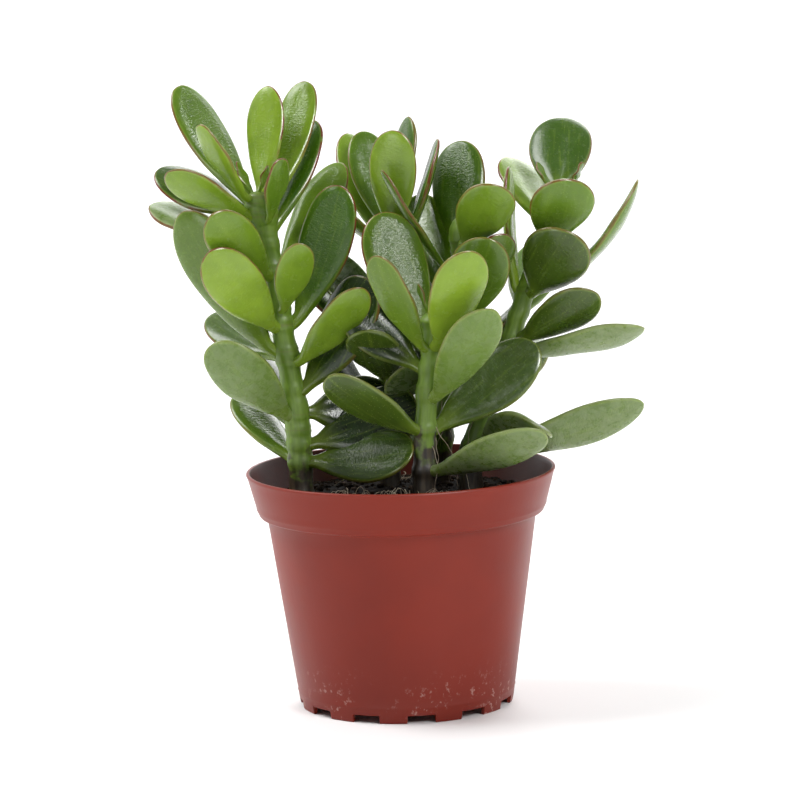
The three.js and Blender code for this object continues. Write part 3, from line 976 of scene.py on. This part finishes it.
def rough_crumb(rng, middle, size, flatness):
    """The corners of one rough crumb."""
    corners = unit(even_crumb())
    corners = corners * (np.array([rng.uniform(0.7, 1.3) for _ in corners])[:, None])
    corners = corners * size * np.array([1, rng.uniform(0.5, 1), flatness])
    turn = rng.uniform(0, NEARLY_A_TURN)
    cosine, sine = math.cos(turn), math.sin(turn)
    spin = np.array([[cosine, -sine, 0], [sine, cosine, 0], [0, 0, 1]])
    return corners @ spin.T + middle


def crumb_faces():
    """The twenty faces of a crumb: each joins three corners of an even one that are neighbours."""
    corners = even_crumb()
    near = np.abs(np.linalg.norm(corners[:, None] - corners[None], axis=2) - 2) < 0.01
    faces = []
    for i in range(CRUMB_CORNERS):
        for j in range(i + 1, CRUMB_CORNERS):
            for k in range(j + 1, CRUMB_CORNERS):
                if near[i, j] and near[j, k] and near[i, k]:
                    normal = np.cross(corners[j] - corners[i], corners[k] - corners[i])
                    outward = normal @ (corners[i] + corners[j] + corners[k]) > 0
                    faces.append((i, j, k) if outward else (i, k, j))
    return faces


def build_crumbs(name, count, sizes, flatness, material, seed):
    """Loose crumbs lying on the soil."""
    rng = random.Random(seed)
    twenty = crumb_faces()
    points, faces = [], []
    for index in range(count):
        reach = (pot_inside(SOIL_EDGE) - 3 * MM) * math.sqrt(rng.random())
        turn = rng.uniform(0, 2 * math.pi)
        x, y = reach * math.cos(turn), reach * math.sin(turn)
        size = rng.uniform(*sizes) * MM
        middle = np.array([x, y, soil_top(x, y) + 0.25 * size])
        points.append(rough_crumb(rng, middle, size, flatness))
        first = CRUMB_CORNERS * index
        faces += [tuple(first + corner for corner in face) for face in twenty]
    dress(new_mesh_object(name, np.vstack(points), faces), material)


def thread_rings(path, radius):
    """Rings of a thin thread along a path."""
    path = np.array(path)
    tangent = unit(np.gradient(path, axis=0))
    level = unit(np.cross(tangent, UP + 0.01))
    other = np.cross(tangent, level)
    taper = np.linspace(1, 0.5, len(path))
    rings = []
    for index, middle in enumerate(path):
        turns = 2 * math.pi * np.arange(THREAD_SIDES) / THREAD_SIDES
        ring = np.outer(np.cos(turns), level[index]) + np.outer(np.sin(turns), other[index])
        rings.append(middle + ring * radius * taper[index])
    return np.array(rings)


def build_threads(name, paths, radius, material):
    """One piece of thin threads, one along each path."""
    points, faces = [], []
    start = 0
    for path in paths:
        rings = thread_rings(path, radius)
        flat, _ = closed_rings(rings, {})
        faces += tube_faces(len(rings), THREAD_SIDES, start)
        points.append(flat)
        start += len(flat)
    dress(new_mesh_object(name, np.vstack(points), faces), material)


def wandering_threads(rng):
    """Paths of the root fibres, which loop up out of the soil in tufts."""
    paths = []
    for x0, y0, spread, count, highest in FIBRE_TUFTS:
        for _ in range(count):
            x = (x0 + rng.gauss(0, spread)) * MM
            y = (y0 + rng.gauss(0, 0.5 * spread)) * MM
            turn = rng.uniform(0, NEARLY_A_TURN)
            lift = rng.uniform(0.15, 1) * highest * MM
            path = []
            steps = rng.randint(9, 18)
            for step in range(steps):
                bow = math.sin(math.pi * step / (steps - 1)) * lift
                path.append((x, y, soil_top(x, y) + 0.4 * MM + bow))
                turn += rng.gauss(0, 0.55)
                x += 0.8 * MM * math.cos(turn)
                y += 0.8 * MM * math.sin(turn)
            reach = max(math.hypot(p[0], p[1]) for p in path)
            if reach < pot_inside(SOIL_EDGE) - MM:
                paths.append(path)
    return paths


def hanging_threads(rng, stems):
    """Paths of the thin air roots, which hang from the stems to the soil."""
    paths = []
    for name, height, turn in AIR_ROOTS:
        middle, radius = along_stem(stems[name], height * MM)
        heading = np.array([math.sin(math.radians(turn)), -math.cos(math.radians(turn)), 0])
        point = middle + heading * 0.9 * radius
        drift = heading * rng.uniform(0.3, 0.9) * MM
        path = [point]
        while point[2] > soil_top(point[0], point[1]) + 0.2 * MM:
            drift = drift * 0.9 + np.array([rng.gauss(0, 0.16), rng.gauss(0, 0.16), 0]) * MM
            point = point + drift - UP * 1.1 * MM
            path.append(point)
        paths.append(path)
    return paths


def build_loose_bits(stems):
    """Crumbs, bits of bark, root fibres and air roots."""
    brown = soil_material("soil_crumb", paint(26, 18, 13), paint(62, 45, 32))
    build_crumbs("soil_crumbs", 700, (0.5, 1.5), 0.7, brown, CRUMB_SEED)
    build_crumbs("soil_bark", 90, (1.2, 2.6), 0.35, brown, BARK_SEED)
    rng = random.Random(THREAD_SEED)
    fibres = fibre_material()
    build_threads("root_fibres", wandering_threads(rng), 0.11 * MM, fibres)
    build_threads("air_roots", hanging_threads(rng, stems), 0.16 * MM, fibres)


# ---- leaves that only Blender has
# Each leaf is (height, turn from the front to the right, rise, length, width, roll, curl), in
# millimetres and degrees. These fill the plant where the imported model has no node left.
EXTRA_LEAVES = {
    "left": [
        (102, 80, 20, 44, 27, -60, 15),
        (191, 25, 62, 27, 12, -20, 10),
        (200, -120, 62, 14, 6, 0, 10),
        (201, 60, 68, 11, 5, 0, 10),
        (124, 75, 58, 50, 27, -60, 15),
        (108, -165, 25, 38, 18, 0, 15),
    ],
    "front": [
        (153, 118, 62, 22, 9, 0, 10),
        (155, -70, 72, 12, 5, 0, 10),
        (155, 100, 72, 12, 5, 0, 10),
        (134, -110, 40, 36, 19, 55, 15),
        (126, 170, 30, 34, 17, 0, 15),
    ],
    "back": [
        (140, -105, 40, 38, 19, 10, 15),
        (140, 70, 40, 36, 18, 10, 15),
        (112, -70, 55, 42, 22, 40, 15),
        (116, 20, 35, 34, 18, 0, 15),
        (193, -100, 65, 12, 5, 0, 10),
        (193, 80, 65, 12, 5, 0, 10),
        (152, -95, 42, 31, 18, 60, 10),
        (104, 95, 25, 40, 20, -50, 15),
    ],
    "middle": [
        (100, -60, 25, 34, 18, 40, 15),
        (134, 95, 40, 34, 17, 0, 15),
        (128, -30, 45, 36, 18, 10, 15),
        (155, -150, 60, 46, 20, 20, 10),
        (187, 120, 66, 14, 6, 0, 10),
    ],
    "right": [
        (126, -120, 30, 34, 17, 20, 15),
    ],
}


def extra_leaf(stem, row):
    """A leaf's base, directions and size from its row, as measure_leaf gives them."""
    height, turn, rise, length, width, roll, curl = row
    middle, radius = along_stem(stem, height * MM)
    turn, rise, roll = math.radians(turn), math.radians(rise), math.radians(roll)
    heading = np.array([math.sin(turn), -math.cos(turn), 0])
    level = np.array([math.cos(turn), math.sin(turn), 0])
    along = heading * math.cos(rise) + UP * math.sin(rise)
    face = UP * math.cos(rise) - heading * math.sin(rise)
    return {
        "base": middle + heading * (radius + MM),
        "along": along,
        "across": level * math.cos(roll) - face * math.sin(roll),
        "face": face * math.cos(roll) + level * math.sin(roll),
        "length": length * MM,
        "width": width * MM,
        "sag": math.tan(math.radians(curl / 2)),
    }


def build_leaves(stems, material):
    """Fine leaves for all the CAD leaves and pairs. Returns the heights of the nodes by stem."""
    heights = {name: [] for name in stems}
    for node in sorted(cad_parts):
        kind, _, rest = node.partition("_")
        if kind not in ("leaf", "pair"):
            continue
        name = rest.split("_")[0]
        stem = stems[name]
        if kind == "leaf":
            points, _ = node_points(node)
            base, tip = far_ends(points, lambda z: along_stem(stem, z)[0])
            leaves, height = [measure_leaf(points, base, tip)], base[2]
        else:
            leaves, height = measure_pair(node, stem)
        heights[name].append(height)
        rooted = [(leaf, root_of(leaf, stem)) for leaf in leaves]
        piece = build_leaf_piece(node, rooted, height)
        dress(piece, material)
        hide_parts(node)
    return heights


def build_extra_leaves(stems, heights, material):
    """The leaves of EXTRA_LEAVES. Adds their heights to those of the nodes."""
    for name, rows in EXTRA_LEAVES.items():
        for index, row in enumerate(rows):
            leaf = extra_leaf(stems[name], row)
            piece_name = f"extra_leaf_{name}_{index + 1:02d}"
            height = row[0] * MM
            rooted = [(leaf, root_of(leaf, stems[name]))]
            piece = build_leaf_piece(piece_name, rooted, height)
            dress(piece, material)
            heights[name].append(height)


# ---- floor, light and camera
FLOOR_HALF = 30.0
CAMERA_ELEVATION = 8.85
CAMERA_DISTANCE = 1.5
CAMERA_ROLL = -1.6
CAMERA_LENS = 174.4
CAMERA_SENSOR = 36
CAMERA_REACH = 200
CAMERA_AIM = (0.0005, 0, 0.1186)
PLANT_MIDDLE = 0.110


def build_ground():
    """A plain pale floor."""
    half = FLOOR_HALF
    mesh = bpy.data.meshes.new("floor")
    corners = [(-half, -half, 0), (half, -half, 0), (half, half, 0), (-half, half, 0)]
    mesh.from_pydata(corners, [], [(0, 1, 2, 3)])
    floor = bpy.data.objects.new("floor", mesh)
    bpy.context.scene.collection.objects.link(floor)
    made = Recipe(bpy.data.materials.new("pale_floor"))
    tone = made.noise(made.own_place(), 0.8, 2.0)
    colour = made.mix(tone, paint(244, 244, 244), paint(247, 247, 247))
    mesh.materials.append(made.finish(colour, 0.7, Specular_IOR_Level=0.2))


def build_sun(name, strength, softness, heading, only_glints=False):
    """A soft light from far away. heading points from the plant to the light, and a light with
    only_glints is seen in glossy surfaces but doesn't brighten them otherwise."""
    light = bpy.data.lights.new(name, "SUN")
    light.energy = strength
    light.angle = math.radians(softness)
    lamp = bpy.data.objects.new(name, light)
    lamp.rotation_mode = "QUATERNION"
    lamp.rotation_quaternion = Vector(heading).to_track_quat("Z", "Y")
    lamp.visible_diffuse = not only_glints
    bpy.context.scene.collection.objects.link(lamp)


def build_world(front, back, overhead):
    """A white studio, darker in front of the plant than behind it, and dimmer overhead."""
    world = bpy.data.worlds.new("studio")
    made = Recipe(world)
    _, depth, height = made.parts(made.own_place("Generated"))
    shade = made.step(depth, -1.0, 1.0, front, back)
    shade = made.combine("MULTIPLY", shade, made.step(height, 0.2, 1.0, 1.0, overhead))
    background = made.tree.nodes["Background"]
    made.put(background.inputs["Color"], (1, 1, 1, 1))
    made.put(background.inputs["Strength"], shade)
    bpy.context.scene.world = world


def light_plant():
    build_sun("key", 2.3, 32, (-0.6, 0.08, 0.78))
    build_sun("spark", 1.3, 20, (0.5, -0.6, 0.62))
    build_sun("right_glint", 3.4, 26, (0.43, -0.66, 0.61), only_glints=True)
    build_sun("left_glint", 0.6, 24, (-0.5, -0.84, 0.2), only_glints=True)
    build_sun("back", 1.55, 40, (0.2, 0.75, 0.62))
    build_world(0.14, 1.3, 0.45)


def build_camera():
    """The camera in front of the plant and a little above it, with a slight roll."""
    elevation = math.radians(CAMERA_ELEVATION)
    back, rise = CAMERA_DISTANCE * math.cos(elevation), CAMERA_DISTANCE * math.sin(elevation)
    eye = Vector((0, -back, PLANT_MIDDLE + rise))
    target = Vector(CAMERA_AIM)
    data = bpy.data.cameras.new("camera")
    data.lens = CAMERA_LENS
    data.sensor_width = CAMERA_SENSOR
    data.clip_end = CAMERA_REACH
    camera = bpy.data.objects.new("camera", data)
    bpy.context.scene.collection.objects.link(camera)
    camera.location = eye
    camera.rotation_euler = (target - eye).to_track_quat("-Z", "Y").to_euler()
    camera.rotation_euler.rotate_axis("Z", math.radians(CAMERA_ROLL))
    bpy.context.scene.camera = camera


def main():
    stems = {name: measure_stem(name) for name in STEM_NAMES}
    leaf = leaf_material()
    heights = build_leaves(stems, leaf)
    build_extra_leaves(stems, heights, leaf)
    bark = stem_material()
    for name, stem in stems.items():
        build_stem(name, stem, heights[name], bark)
    build_pot(pot_material())
    build_soil(soil_material("soil", paint(13, 9, 7), paint(32, 23, 17)))
    build_loose_bits(stems)
    build_ground()
    light_plant()
    build_camera()
    bpy.context.scene.view_settings.view_transform = "Standard"


main()
